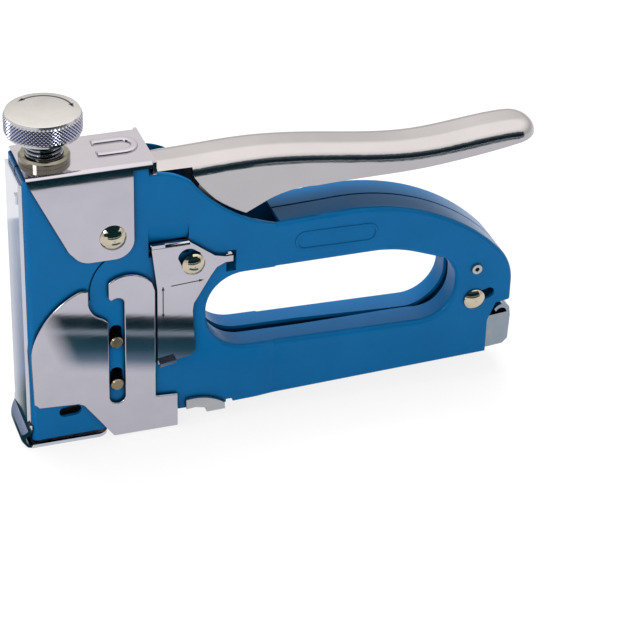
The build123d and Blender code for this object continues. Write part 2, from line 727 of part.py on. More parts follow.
# Lock plate on the near side
with BuildPart() as lock_plate:
    with BuildSketch(side(-plate_in)):
        with BuildLine():
            Polyline((40.9, 72.4), (53.5, 72.4), (59.6, 67.7), (62.5, 65.5), (66.0, 64.6), (66.0, 62.4),
                     (63.1, 61.0), (61.2, 58.3), (55.3, 48.4), (54.9, 45.6), (55.8, 30.2), (54.6, 28.2),
                     (42.9, 26.4), (42.9, 55.5), close=True)
        make_face()
        with BuildLine():
            ThreePointArc((51.6, 62.4), (54.8, 59.6), (57.6, 62.0))
            Polyline((57.6, 62.0), (57.6, 67.4), (55.4, 69.0))
            ThreePointArc((55.4, 69.0), (51.6, 69.1), (49.9, 66.4))
            Line((49.9, 66.4), (51.6, 62.4))
        make_face(mode=Mode.SUBTRACT)
    extrude(amount=sheet)
    # Lip turned in through the window, with a longer finger beside the lift lever
    with BuildSketch(side(-plate_out)):
        with Locations((47.2, 71.8)):
            Rectangle(12.6, sheet)
    extrude(amount=-3.2)
    with BuildSketch(facing(40.4, True)):
        with Locations((-plate_out + lip_bend / 2, 72.4 - lip_bend / 2)):
            Rectangle(lip_bend, lip_bend)
        with Locations((-plate_out + lip_bend, 72.4 - lip_bend)):
            Circle(lip_bend, mode=Mode.SUBTRACT)
    extrude(amount=13.6, mode=Mode.SUBTRACT)
    with BuildSketch(side(-plate_out)):
        with Locations((43.4, 71.8)):
            Rectangle(4.4, sheet)
    extrude(amount=lever_half + slide_gap - plate_out)
    # Tongue bent into its slot
    with BuildSketch(side(-plate_in)):
        with Locations((67.0, 63.5)):
            Rectangle(3.4, 2.2)
    extrude(amount=sheet)
    with BuildSketch(side(-plate_out)):
        with Locations((68.1, 63.5)):
            Rectangle(sheet, 2.2)
    extrude(amount=-2.6)
    # Thumb tab turned out
    with BuildSketch(side(-plate_out)):
        with BuildLine():
            Polyline((43.2, 26.45), (48.8, 27.31), (48.8, 28.5), (43.2, 27.64), close=True)
        make_face()
    extrude(amount=1.9)
save(lock_plate.part, "lock_plate")

# Jam gate: two slotted plates joined under the belly
with BuildPart() as gate:
    with BuildSketch(side(plate_out)):
        with BuildLine():
            Polyline((2.4, 16.4), (0.6, 18.2), (0.2, 36.0))
            ThreePointArc((0.2, 36.0), (6.6, 51.4), (17.2, 59.2))
            Polyline((17.2, 59.2), (19.8, 58.9), (19.8, 53.6))
            ThreePointArc((19.8, 53.6), (21.6, 49.6), (24.6, 47.6))
            Polyline((24.6, 47.6), (26.3, 46.0), (26.3, 16.3))
            ThreePointArc((26.3, 16.3), (gate_pin_x, 13.6), (31.7, 16.3))
            Line((31.7, 16.3), (31.7, 52.4))
            ThreePointArc((31.7, 52.4), (29.9, 54.6), (28.4, 54.4))
            Polyline((28.4, 54.4), (27.2, 53.9), (26.5, 55.0), (26.5, 60.6))
            ThreePointArc((26.5, 60.6), (33.5, 62.9), (41.2, 58.6))
            Polyline((41.2, 58.6), (42.2, 55.5), (42.2, 13.9), (49.8, 13.4), (49.8, 0.5), (27.6, 0.5),
                     (17.5, 14.6), (15.6, 15.6), (2.4, 16.4))
        make_face()
    extrude(amount=2 * plate_out)
    with BuildSketch(side(plate_in)):
        with Locations((25, 50 + 0.5 + sheet)):
            Rectangle(120, 100)
    extrude(amount=2 * plate_in, mode=Mode.SUBTRACT)
save(gate.part, "gate")

# Magazine channel, its rail and rear end
with BuildPart() as magazine:
    with BuildSketch(mag_cut(mag_start)):
        with Locations((0, 0.3 + mag_high / 2)):
            Rectangle(2 * mag_half, mag_high)
        with Locations((0, 0.3 + mag_sheet + mag_high / 2)):
            Rectangle(2 * (mag_half - mag_sheet), mag_high, mode=Mode.SUBTRACT)
    extrude(amount=mag_end - mag_start)
    # Side lips that ride on the shells' belly flanges
    with BuildSketch(mag_cut(lip_start)):
        for y in (1, -1):
            with Locations((y * (mag_half + 0.7), sheet + 3 * slide_gap + mag_sheet / 2)):
                Rectangle(1.5, mag_sheet)
    extrude(amount=mag_end - lip_start)
    # Half-moon finger tab outside the near shell, carried under its edge
    with BuildSketch(mag_side(-mag_half + 2)):
        with Locations((63.2, 0.1)):
            Rectangle(6.5, 2.4)
    extrude(amount=1.9)
    with BuildSketch(mag_side(-mag_half + 2)):
        with Locations((63.2, -0.8)):
            Rectangle(6.5, 0.9)
    extrude(amount=plate_out - mag_half + 2)
    with BuildSketch(mag_side(-plate_in)):
        with BuildLine():
            Line((52.9, 1.3), (52.9, 4.9))
            ThreePointArc((52.9, 4.9), (58.6, 4.8), (66.4, 1.1))
            Polyline((66.4, 1.1), (66.4, -1.25), (60.0, -1.25), (60.0, 0.5), (56.0, 1.5), (52.9, 1.3))
        make_face()
    extrude(amount=sheet)
save(magazine.part, "magazine")

with BuildPart() as staple_rail:
    with BuildSketch(mag_cut(mag_start + 0.2)):
        with Locations((0, 0.3 + mag_sheet + seat_gap + 3.3)):
            Rectangle(9.4, 6.6)
        with Locations((0, 0.3 + mag_sheet + seat_gap + 2.8)):
            Rectangle(7.4, 5.6, mode=Mode.SUBTRACT)
    extrude(amount=mag_end - mag_start - 1)
save(staple_rail.part, "staple_rail")

with BuildPart() as magazine_end:
    with BuildSketch(mag_side(8.2)):
        with BuildLine():
            Polyline((mag_end + seat_gap, 0.4), (170.0, 0.9), (171.9, 2.8), (172.5, 12.2), (172.1, 15.8))
            ThreePointArc((172.1, 15.8), (169.9, 17.2), (166.5, 15.6))
            Polyline((166.5, 15.6), (167.1, 14.6))
            ThreePointArc((167.1, 14.6), (169.3, 15.8), (170.9, 14.8))
            Polyline((170.9, 14.8), (171.2, 13.8), (mag_end + seat_gap, 13.2), (mag_end + seat_gap, 0.4))
        make_face()
    extrude(amount=16.4)
    with BuildSketch(mag_side(8.2 - sheet)):
        with BuildLine():
            Polyline((mag_end + sheet, 1.7), (169.4, 2.2), (170.7, 3.4), (171.2, 11.9),
                     (mag_end + sheet, 11.9), close=True)
        make_face()
    extrude(amount=16.4 - 2 * sheet, mode=Mode.SUBTRACT)
    with BuildSketch(mag_cut(mag_end - 1)):
        with Locations((0, rod_v)):
            Circle(rod_d / 2 + 0.01)
    extrude(amount=3, mode=Mode.SUBTRACT)
save(magazine_end.part, "magazine_end")

with BuildPart() as guide_rod:
    with BuildSketch(mag_cut(12)):
        with Locations((0, rod_v)):
            Circle(rod_d / 2)
    extrude(amount=mag_end + sheet - 12)
save(guide_rod.part, "guide_rod")

pusher_start = mag_start + 0.4
pusher_long = 18.0
with BuildPart() as pusher:
    with BuildSketch(mag_cut(pusher_start)):
        with BuildLine():
            Polyline((-5.7, 2.2), (-5.7, 9.6), (-3.0, 12.4), (3.0, 12.4), (5.7, 9.6), (5.7, 2.2),
                     (5.0, 2.2), (5.0, 8.9), (-5.0, 8.9), (-5.0, 2.2), close=True)
        make_face()
        with Locations((0, rod_v)):
            Circle(rod_d / 2 + pin_fit, mode=Mode.SUBTRACT)
    extrude(amount=pusher_long)
save(pusher.part, "pusher")

push_low = pusher_start + pusher_long + 0.6
push_long = mag_end - 0.6 - push_low
pusher_spring = coil(mag_cut(push_low, rod_v), 1.9, 0.7, push_long, 26)
save(pusher_spring, "pusher_spring")

# Rear latch pin
latch = cross_pin(latch_at, latch_d, latch_head_d, 1.4, -grip_half - slide_gap, grip_half + slide_gap,
                  0.3, 0.3)
save(latch, "latch_pin")

lean_dir = (math.cos(math.radians(lean)), 0, math.sin(math.radians(lean)))
latch_start = latch_d / 2 + 0.4
latch_plane = Plane(origin=(nose_x + latch_at[0] + latch_start * lean_dir[0], 0,
                            latch_at[1] + latch_start * lean_dir[2]), x_dir=(0, 1, 0), z_dir=lean_dir)
latch_spring = coil(latch_plane, 1.6, 0.6, 10.0, 7)
save(latch_spring, "latch_spring")
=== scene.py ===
# Hand staple gun: enamelled shells, plated fittings, knurled adjuster, studio light and camera
import json
import math

import bmesh
import bpy
from mathutils import Matrix, Vector


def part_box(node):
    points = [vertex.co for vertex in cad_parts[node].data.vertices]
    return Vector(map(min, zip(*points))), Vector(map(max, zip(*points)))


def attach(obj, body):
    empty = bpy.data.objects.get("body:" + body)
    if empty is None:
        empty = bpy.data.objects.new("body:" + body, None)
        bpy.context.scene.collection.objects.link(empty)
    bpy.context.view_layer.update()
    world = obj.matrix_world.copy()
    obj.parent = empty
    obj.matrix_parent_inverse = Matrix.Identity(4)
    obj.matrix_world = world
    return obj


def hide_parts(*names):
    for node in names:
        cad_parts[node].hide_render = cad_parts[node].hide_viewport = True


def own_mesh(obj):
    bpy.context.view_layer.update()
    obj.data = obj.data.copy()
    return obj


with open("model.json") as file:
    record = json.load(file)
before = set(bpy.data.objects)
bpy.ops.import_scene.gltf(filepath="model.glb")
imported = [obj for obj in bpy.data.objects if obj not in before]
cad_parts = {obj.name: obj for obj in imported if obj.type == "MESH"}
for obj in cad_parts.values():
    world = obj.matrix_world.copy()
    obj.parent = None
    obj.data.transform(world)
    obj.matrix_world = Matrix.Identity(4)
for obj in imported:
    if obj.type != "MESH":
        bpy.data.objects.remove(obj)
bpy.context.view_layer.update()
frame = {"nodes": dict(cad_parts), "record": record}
nodes = frame["nodes"]
scene = bpy.context.scene
mm = 0.001
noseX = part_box("left_shell")[0].x   # side view sizes run back from the shells' front edge
print("frame loaded:", len(nodes), "nodes")


def linear(hexColour):
    channels = [int(hexColour[i:i + 2], 16) / 255 for i in (1, 3, 5)]
    return tuple(c / 12.92 if c <= 0.04045 else ((c + 0.055) / 1.055) ** 2.4 for c in channels) + (1.0,)


def addNode(tree, kind, settings=None, links=None):
    node = tree.nodes.new(kind)
    for name, value in (settings or {}).items():
        if isinstance(name, int) or name in node.inputs:
            node.inputs[name].default_value = value
        else:
            setattr(node, name, value)
    for name, socket in (links or {}).items():
        tree.links.new(socket, node.inputs[name])
    return node


def newMaterial(name):
    material = bpy.data.materials.new(name)
    material.use_nodes = True
    tree = material.node_tree
    shader = tree.nodes["Principled BSDF"]
    place = addNode(tree, "ShaderNodeTexCoord").outputs["Object"]
    return material, tree, shader, place


mixShare, mixFirst, mixSecond, mixResult = 0, 6, 7, 2   # sockets of a Mix node in colour mode
crowdSamples = 8


def noise(tree, place, size, detail):
    return addNode(tree, "ShaderNodeTexNoise", {"Scale": 1 / size, "Detail": detail}, {"Vector": place}).outputs["Fac"]


def remap(tree, value, source=(0, 1), result=(0, 1)):
    settings = {"From Min": source[0], "From Max": source[1], "To Min": result[0], "To Max": result[1]}
    return addNode(tree, "ShaderNodeMapRange", settings, {"Value": value}).outputs["Result"]


def mixColours(tree, share, first, second):
    # Each side is a hex colour or the socket of a colour
    mix = addNode(tree, "ShaderNodeMix", {"data_type": "RGBA"}, {mixShare: share})
    for side, colour in ((mixFirst, first), (mixSecond, second)):
        if isinstance(colour, str):
            mix.inputs[side].default_value = linear(colour)
        else:
            tree.links.new(colour, mix.inputs[side])
    return mix.outputs[mixResult]


def paintCrowdShade(tree, colour, dark, reach, shade):
    # Painted shade: turns the colour dark where other surfaces stand within reach
    crowd = addNode(tree, "ShaderNodeAmbientOcclusion", {"samples": crowdSamples, "Distance": reach})
    return mixColours(tree, remap(tree, crowd.outputs["AO"], shade), dark, colour)


def addBump(tree, shader, height, strength, deep):
    bump = addNode(tree, "ShaderNodeBump", {"Strength": strength, "Distance": deep}, {"Height": height})
    tree.links.new(bump.outputs["Normal"], shader.inputs["Normal"])


# Stoved gloss enamel on pressed steel: faint clouding and orange peel, with painted shade where plates crowd it
enamelLook = {"deep": "#004F80", "bright": "#005B91", "corner": "#001C2C", "cloud": 14 * mm, "smear": 5 * mm,
              "peel": 1.6 * mm, "peelStrength": 0.06, "peelDeep": 0.1 * mm, "rough": (0.16, 0.28),
              "reach": 3.2 * mm, "shade": (0.35, 0.85), "shine": 0.09}


def makeEnamel():
    look = enamelLook
    material, tree, shader, place = newMaterial("stovedEnamel")
    coat = mixColours(tree, noise(tree, place, look["cloud"], 4.0), look["deep"], look["bright"])
    # painted shade beside the plates and in the corners between parts
    colour = paintCrowdShade(tree, coat, look["corner"], look["reach"], look["shade"])
    tree.links.new(colour, shader.inputs["Base Color"])
    rough = remap(tree, noise(tree, place, look["smear"], 6.0), result=look["rough"])
    tree.links.new(rough, shader.inputs["Roughness"])
    addBump(tree, shader, noise(tree, place, look["peel"], 1.0), look["peelStrength"], look["peelDeep"])
    shader.inputs["Specular IOR Level"].default_value = look["shine"]
    return material


# Plated steel: colour of the plate, how far it is polished, and the size of its smears and scratches; where given,
# painted shade darkens the grooves
platedLooks = {
    "brightChrome": {"pale": "#B7B5BF", "dull": "#A9A7B1", "rough": (0.04, 0.09), "smear": 9 * mm, "wave": 0.04},
    "noseChrome": {"pale": "#C4C8D2", "dull": "#B2B7C3", "rough": (0.06, 0.12), "smear": 9 * mm, "wave": 0.04},
    "endChrome": {"pale": "#929CA6", "dull": "#78848F", "rough": (0.14, 0.24), "smear": 5 * mm, "wave": 0.05},
    "polishedChrome": {"pale": "#B4B2B5", "dull": "#A6A4A8", "rough": (0.10, 0.17), "smear": 16 * mm, "wave": 0.03},
    "satinChrome": {"pale": "#C4C3C2", "dull": "#B5B4B4", "rough": (0.14, 0.24), "smear": 5 * mm, "wave": 0.04,
                    "grooveShade": "#46578A"},
    # the screw's plate is a darker copy of the chrome, painted shade for its place under the knob, with painted shade
    # in its grooves
    "threadChrome": {"pale": "#A7ABB4", "dull": "#8C919B", "rough": (0.06, 0.12), "smear": 3 * mm, "wave": 0.03,
                     "grooveShade": "#20262E"},
    "rivetSteel": {"pale": "#C8BFAD", "dull": "#AEA592", "rough": (0.05, 0.10), "smear": 3 * mm, "wave": 0.02},
    "darkNickel": {"pale": "#8E8A7E", "dull": "#69665D", "rough": (0.05, 0.12), "smear": 3 * mm, "wave": 0.03},
    "wornBrass": {"pale": "#958B75", "dull": "#736A58", "rough": (0.20, 0.32), "smear": 2 * mm, "wave": 0.04},
    "zincSteel": {"pale": "#B9BABC", "dull": "#9EA0A4", "rough": (0.30, 0.44), "smear": 6 * mm, "wave": 0.06},
    "springWire": {"pale": "#8C8D90", "dull": "#6E7074", "rough": (0.25, 0.38), "smear": 3 * mm, "wave": 0.03},
}
scratchLook = {"size": 0.8 * mm, "stretch": (0.12, 1.0, 1.0), "share": 0.35, "range": (0.3, 1.0), "deep": 0.05 * mm}
# how far the painted groove shade reaches and how dark it turns
grooveLook = {"reach": 0.9 * mm, "shade": (0.55, 1.0)}


def makePlated(name):
    look = platedLooks[name]
    material, tree, shader, place = newMaterial(name)
    smear = noise(tree, place, look["smear"], 5.0)
    colour = mixColours(tree, smear, look["dull"], look["pale"])
    # painted shade: the knurl and the thread turn darker in their grooves
    if "grooveShade" in look:
        colour = paintCrowdShade(tree, colour, look["grooveShade"], grooveLook["reach"], grooveLook["shade"])
    tree.links.new(colour, shader.inputs["Base Color"])
    grain = addNode(tree, "ShaderNodeMapping", {"Scale": scratchLook["stretch"]}, {"Vector": place})
    scratch = noise(tree, grain.outputs["Vector"], scratchLook["size"], 3.0)
    blend = addNode(tree, "ShaderNodeMath", {"operation": "MULTIPLY_ADD", 1: scratchLook["share"]},
                    {0: scratch, 2: smear})
    rough = remap(tree, blend.outputs["Value"], scratchLook["range"], look["rough"])
    tree.links.new(rough, shader.inputs["Roughness"])
    addBump(tree, shader, scratch, look["wave"], scratchLook["deep"])
    shader.inputs["Metallic"].default_value = 1.0
    return material


# Dull blacks: moulded rubber, faintly grainy, and ink filled marks, worn thin in spots
dullLooks = {"blackRubber": {"low": "#17181A", "high": "#242528", "grain": 0.6 * mm, "detail": 2.0, "rough": 0.75,
                             "bump": 0.2, "bumpDeep": 0.1 * mm},
             "blackMark": {"low": "#15171B", "high": "#34373D", "grain": 0.7 * mm, "detail": 3.0, "rough": 0.6}}


def makeDull(name):
    look = dullLooks[name]
    material, tree, shader, place = newMaterial(name)
    grain = noise(tree, place, look["grain"], look["detail"])
    tree.links.new(mixColours(tree, grain, look["low"], look["high"]), shader.inputs["Base Color"])
    if "bump" in look:
        addBump(tree, shader, grain, look["bump"], look["bumpDeep"])
    shader.inputs["Roughness"].default_value = look["rough"]
    return material


finishes = {name: makePlated(name) for name in platedLooks}
finishes.update({name: makeDull(name) for name in dullLooks})
finishes["stovedEnamel"] = makeEnamel()
slotFinish = {"blue_enamel": "stovedEnamel", "chrome_plate": "brightChrome", "handle_chrome": "polishedChrome",
              "knob_chrome": "satinChrome", "rivet_steel": "rivetSteel", "brass_bush": "darkNickel",
              "brass_pin": "wornBrass", "zinc_steel": "zincSteel", "spring_steel": "springWire",
              "black_rubber": "blackRubber"}
nodeFinish = {"front_plate": "noseChrome", "magazine_end": "endChrome", "rear_eyelet": "zincSteel"}
for sub in frame["record"]["subparts"]:
    mesh = nodes[sub["node"]].data
    mesh.materials.clear()
    mesh.materials.append(finishes[nodeFinish.get(sub["node"], slotFinish[sub["material_slot"]])])
print("materials:", len(finishes))

# Tools for the modelled pieces
axisX = (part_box("adjuster_knob")[0].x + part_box("adjuster_knob")[1].x) / 2   # adjuster axis
tiny = 0.01 * mm   # less than this counts as nothing
weld = 0.001 * mm


def pickOnly(*parts):
    bpy.ops.object.select_all(action="DESELECT")
    for part in parts:
        part.select_set(True)
    if parts:
        bpy.context.view_layer.objects.active = parts[0]


def choose(kind, test):
    # Selects the faces, edges or vertices of the mesh being edited that pass the test
    obj = bpy.context.object
    bpy.ops.mesh.select_mode(type=kind)
    bpy.ops.mesh.select_all(action="DESELECT")
    work = bmesh.from_edit_mesh(obj.data)
    for item in {"FACE": work.faces, "EDGE": work.edges, "VERT": work.verts}[kind]:
        item.select_set(test(item))
    work.select_flush_mode()
    bmesh.update_edit_mesh(obj.data)


def beginEdit():
    bpy.ops.object.mode_set(mode="EDIT")


def endEdit():
    bpy.ops.object.mode_set(mode="OBJECT")


def joinPieces(parts):
    pickOnly(*parts)
    bpy.ops.object.join()
    return bpy.context.object


def finishPiece(obj, name, finish, angle=30):
    # Puts the place into the mesh and gives the piece its name and finish
    pickOnly(obj)
    bpy.ops.object.transform_apply(location=True, rotation=True, scale=True)
    bpy.ops.object.shade_smooth_by_angle(angle=math.radians(angle))
    obj.name = name
    obj.data.materials.clear()
    obj.data.materials.append(finishes[finish])
    return obj


def applyModifier(obj, kind, settings):
    bpy.context.view_layer.objects.active = obj
    change = obj.modifiers.new(kind.lower(), kind)
    for name, value in settings.items():
        setattr(change, name, value)
    bpy.ops.object.modifier_apply(modifier=change.name)


def weldedCopy(node, name, gap, flat=0):
    # The CAD mesh copied to a piece of its own, its split edges joined and faces within flat degrees merged
    piece = bpy.data.objects.new(name, nodes[node].data.copy())
    scene.collection.objects.link(piece)
    pickOnly(piece)
    beginEdit()
    bpy.ops.mesh.select_all(action="SELECT")
    bpy.ops.mesh.remove_doubles(threshold=gap)
    if flat:
        bpy.ops.mesh.dissolve_limited(angle_limit=math.radians(flat))
    endEdit()
    return piece


def rise(edge):
    return abs(edge.verts[0].co.z - edge.verts[1].co.z)


def isLevelOrUpright(edge):
    step = edge.verts[0].co - edge.verts[1].co
    return rise(edge) < tiny or math.hypot(step.x, step.y) < tiny


# Adjuster knob: diamond knurl between two plain rims, flat top
knurl = {"teeth": 60, "rows": 5, "deep": 0.55 * mm, "rim": 0.8 * mm, "rimSteps": 2, "rimRound": 0.7, "wallHigh": 3 * mm,
         "wallTilt": 0.05, "smooth": 12}


def makeKnob():
    low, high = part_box("adjuster_knob")
    radius = (high.x - low.x) / 2
    base = radius - knurl["deep"]
    pickOnly()
    bpy.ops.mesh.primitive_cylinder_add(vertices=knurl["teeth"], radius=base, depth=high.z - low.z,
                                        location=(axisX, 0, (low.z + high.z) / 2))
    knob = bpy.context.object
    bpy.ops.object.transform_apply(location=True)
    beginEdit()
    choose("EDGE", lambda e: rise(e) < tiny)
    bpy.ops.mesh.bevel(offset=knurl["rim"], segments=knurl["rimSteps"], profile=knurl["rimRound"], affect="EDGES")
    choose("EDGE", lambda e: rise(e) > knurl["wallHigh"])
    bpy.ops.mesh.subdivide(number_cuts=knurl["rows"] - 1)
    choose("FACE", lambda f: abs(f.normal.z) < knurl["wallTilt"])
    bpy.ops.mesh.poke()
    choose("EDGE", lambda e: all(len(f.verts) == 3 for f in e.link_faces) and isLevelOrUpright(e))
    bpy.ops.mesh.dissolve_edges(use_verts=False, use_face_split=False)
    choose("FACE", lambda f: len(f.verts) == 4 and abs(f.normal.z) < knurl["wallTilt"])
    bpy.ops.mesh.poke(offset=knurl["deep"])
    endEdit()
    return finishPiece(knob, "knurledKnob", "satinChrome", knurl["smooth"])


# Adjuster screw: a cut thread on a core, with the core's post up inside the knob
thread = {"pitch": 1.5 * mm, "deep": 0.75 * mm, "crest": 0.25, "root": 0.9, "steps": 40, "coreSides": 48,
          "chamfer": 1.0 * mm, "start": 3.5 * mm, "smooth": 20}


def makeThread():
    low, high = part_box("adjuster_screw")
    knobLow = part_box("adjuster_knob")[0].z
    radius = (high.x - low.x) / 2
    root = radius - thread["deep"]
    pickOnly()
    bpy.ops.mesh.primitive_cylinder_add(vertices=thread["coreSides"], radius=root, depth=high.z - low.z,
                                        location=(axisX, 0, (low.z + high.z) / 2))
    core = bpy.context.object
    beginEdit()
    choose("EDGE", lambda e: rise(e) < tiny)
    bpy.ops.mesh.bevel(offset=thread["chamfer"], segments=1, affect="EDGES")
    endEdit()
    start = low.z + thread["start"]
    turns = int((knobLow - start) / thread["pitch"]) - 1
    pickOnly()
    middle = axisX + root + thread["deep"] / 2
    bpy.ops.mesh.primitive_plane_add(size=thread["deep"], rotation=(math.pi / 2, 0, 0), location=(middle, 0, start))
    ridge = bpy.context.object
    bpy.ops.object.transform_apply(location=True, rotation=True)
    beginEdit()
    for test, share in ((lambda v: v.co.x > middle, thread["crest"]), (lambda v: v.co.x < middle, thread["root"])):
        choose("VERT", test)
        bpy.ops.transform.resize(value=(1, 1, share * thread["pitch"] / thread["deep"]))
    bpy.ops.mesh.select_all(action="SELECT")
    bpy.ops.mesh.delete(type="ONLY_FACE")
    endEdit()
    scene.cursor.location = (axisX, 0, start)
    bpy.ops.object.origin_set(type="ORIGIN_CURSOR")
    scene.cursor.location = (0, 0, 0)
    applyModifier(ridge, "SCREW", {"axis": "Z", "angle": 2 * math.pi, "screw_offset": thread["pitch"],
                                   "iterations": turns, "steps": thread["steps"], "render_steps": thread["steps"]})
    beginEdit()
    bpy.ops.mesh.select_all(action="SELECT")
    bpy.ops.mesh.remove_doubles(threshold=weld)
    bpy.ops.mesh.select_mode(type="EDGE")
    bpy.ops.mesh.select_non_manifold()
    bpy.ops.mesh.edge_face_add()
    bpy.ops.mesh.select_all(action="SELECT")
    bpy.ops.mesh.normals_make_consistent(inside=False)
    endEdit()
    return finishPiece(joinPieces([core, ridge]), "threadedScrew", "threadChrome", thread["smooth"])


# Plates with rolled-over edges
plateSoft = {"roll": 0.4 * mm, "steps": 3, "sharp": 50, "flat": 1, "weld": 0.002 * mm, "smooth": 35, "weight": 100}


def softPlate(node, name):
    plate = weldedCopy(node, name, plateSoft["weld"], plateSoft["flat"])
    applyModifier(plate, "BEVEL", {"width": plateSoft["roll"], "segments": plateSoft["steps"], "limit_method": "ANGLE",
                                   "angle_limit": math.radians(plateSoft["sharp"]), "use_clamp_overlap": True})
    finishPiece(plate, name, "brightChrome", plateSoft["smooth"])
    applyModifier(plate, "WEIGHTED_NORMAL", {"mode": "FACE_AREA", "weight": plateSoft["weight"], "keep_sharp": True})
    return plate


# Springs, each a welded copy on its body: name, body, joint, way of the push and travel
springs = {"main_spring": ("powerCoil", "body", "plunger_lift", (0, 0, 1), 7.6 * mm),
           "pusher_spring": ("pusherCoil", "magazine_set", "pusher_draw", (0.99963, 0, 0.02722), 90 * mm),
           "latch_spring": ("latchCoil", "body", "latch_slide", (0.96476, 0, 0.26312), 5.4 * mm)}


def softSpring(node):
    name, body, joint, way, travel = springs[node]
    coil = weldedCopy(node, name, weld)
    finishPiece(coil, name, "springWire")
    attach(coil, body)
    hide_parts(node)
    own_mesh(coil)


# Printed marks: plain arrows on the knob and the lock plate
marks = {"lift": 0.03 * mm, "line": 0.36 * mm, "head": 2.2 * mm, "arcLine": 0.6 * mm, "arcHead": 3.4 * mm,
         "arcAt": 9.6 * mm, "arcFrom": 5, "arcTo": 120, "arcSteps": 40, "slim": 0.55,
         "lockArrows": (((44.8, 45.4), (44.8, 55.6), True), ((47.6, 56.3), (57.6, 56.9), False))}


def arrowHead(place, turn, turned, size):
    # Flat triangle; its point looks along turn in the plane that the turned flag names
    pickOnly()
    bpy.ops.mesh.primitive_circle_add(vertices=3, radius=size / 2, fill_type="NGON", location=place)
    head = bpy.context.object
    spin = Matrix.Rotation(turn - math.pi / 2, 4, "Z")
    lean = Matrix.Rotation(math.pi / 2, 4, "X") if turned else Matrix.Identity(4)
    head.matrix_world = Matrix.Translation(place) @ lean @ spin @ Matrix.Diagonal((marks["slim"], 1.0, 1.0, 1.0))
    return head


def makeKnobArrow():
    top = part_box("adjuster_knob")[1].z + marks["lift"]
    ends = [math.radians(a) for a in (marks["arcFrom"], marks["arcTo"])]
    start = Vector((math.cos(ends[0]), math.sin(ends[0]), 0)) * marks["arcAt"] + Vector((axisX, 0, top))
    pickOnly()
    bpy.ops.mesh.primitive_plane_add(size=marks["arcLine"], location=start, rotation=(0, 0, ends[0]))
    arc = bpy.context.object
    bpy.ops.object.transform_apply(location=True, rotation=True)
    ahead = Vector((-math.sin(ends[0]), math.cos(ends[0]), 0))
    beginEdit()
    choose("EDGE", lambda e: ((e.verts[0].co + e.verts[1].co) / 2 - start).dot(ahead) > marks["arcLine"] / 4)
    bpy.ops.mesh.spin(steps=marks["arcSteps"], angle=ends[1] - ends[0], center=(axisX, 0, top), axis=(0, 0, -1))
    endEdit()
    heads = []
    for angle, way in ((ends[0], -1), (ends[1], 1)):
        place = Vector((math.cos(angle), math.sin(angle), 0)) * marks["arcAt"] + Vector((axisX, 0, top))
        heads.append(arrowHead(place, angle + way * math.pi / 2, False, marks["arcHead"]))
    return finishPiece(joinPieces([arc] + heads), "knobArrow", "blackMark")


def makeLockArrows():
    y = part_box("gate")[0].y - marks["lift"]
    parts = []
    for (x1, z1), (x2, z2), both in marks["lockArrows"]:
        a = Vector((noseX + x1 * mm, y, z1 * mm))
        b = Vector((noseX + x2 * mm, y, z2 * mm))
        turn = math.atan2(b.z - a.z, b.x - a.x)
        pickOnly()
        bpy.ops.mesh.primitive_plane_add(size=1.0, location=(a + b) / 2)
        line = bpy.context.object
        line.matrix_world = (Matrix.Translation((a + b) / 2) @ Matrix.Rotation(math.pi / 2, 4, "X")
                             @ Matrix.Rotation(turn, 4, "Z")
                             @ Matrix.Diagonal(((b - a).length, marks["line"], 1.0, 1.0)))
        parts.append(line)
        parts.append(arrowHead(b, turn, True, marks["head"]))
        if both:
            parts.append(arrowHead(a, turn + math.pi, True, marks["head"]))
    return finishPiece(joinPieces(parts), "lockArrows", "blackMark")


# Bare pressed border on the grip
border = {"at": (105.4, 64.6), "long": 29.2 * mm, "high": 7.2 * mm, "bead": 0.9 * mm, "raise": 0.35 * mm, "tilt": 1.2,
          "sides": 48, "round": 0.9, "roundSteps": 3, "smooth": 40,
          "inside": 0.5 * mm}   # the grip stands half a millimetre inside the tower


def makeBorder():
    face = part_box("left_shell")[0].y + border["inside"]
    radius = border["high"] / 2
    pickOnly()
    bpy.ops.mesh.primitive_circle_add(vertices=border["sides"], radius=radius, fill_type="NGON",
                                      rotation=(math.pi / 2, 0, 0))
    ring = bpy.context.object
    bpy.ops.object.transform_apply(rotation=True)
    beginEdit()
    for way in (1, -1):
        choose("VERT", lambda v: v.co.x * way > tiny)
        bpy.ops.transform.translate(value=(way * (border["long"] / 2 - radius), 0, 0))
    choose("FACE", lambda f: True)
    bpy.ops.mesh.inset(thickness=border["bead"])
    bpy.ops.mesh.delete(type="FACE")
    choose("FACE", lambda f: True)
    bpy.ops.mesh.extrude_region_move(TRANSFORM_OT_translate={"value": (0, -border["raise"], 0)})
    choose("EDGE", lambda e: all(abs(v.co.y + border["raise"]) < tiny for v in e.verts)
           and any(abs(f.normal.y) < 0.5 for f in e.link_faces))
    bpy.ops.mesh.bevel(offset=border["raise"] * border["round"], segments=border["roundSteps"], affect="EDGES")
    bpy.ops.mesh.select_all(action="SELECT")
    bpy.ops.mesh.normals_make_consistent(inside=False)
    endEdit()
    ring.matrix_world = (Matrix.Translation((noseX + border["at"][0] * mm, face, border["at"][1] * mm))
                         @ Matrix.Rotation(math.radians(border["tilt"]), 4, "Y"))
    return finishPiece(ring, "gripBorder", "stovedEnamel", border["smooth"])


knobPiece = makeKnob()
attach(knobPiece, "adjuster_set")
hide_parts("adjuster_knob")
threadPiece = makeThread()
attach(threadPiece, "adjuster_set")
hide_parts("adjuster_screw")
for plateNode, plateName, plateBody in (("gate", "gatePlates", "jam_gate"), ("lock_plate", "lockPlate", "handle_lock"),
                                        ("top_cap", "foldedCap", "body")):
    platePiece = softPlate(plateNode, plateName)
    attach(platePiece, plateBody)
    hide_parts(plateNode)
for springNode in springs:
    softSpring(springNode)
arrowPiece = makeKnobArrow()
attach(arrowPiece, "adjuster_set")
lockMarks = makeLockArrows()
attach(lockMarks, "handle_lock")
borderPiece = makeBorder()
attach(borderPiece, "body")
print("pieces modelled")


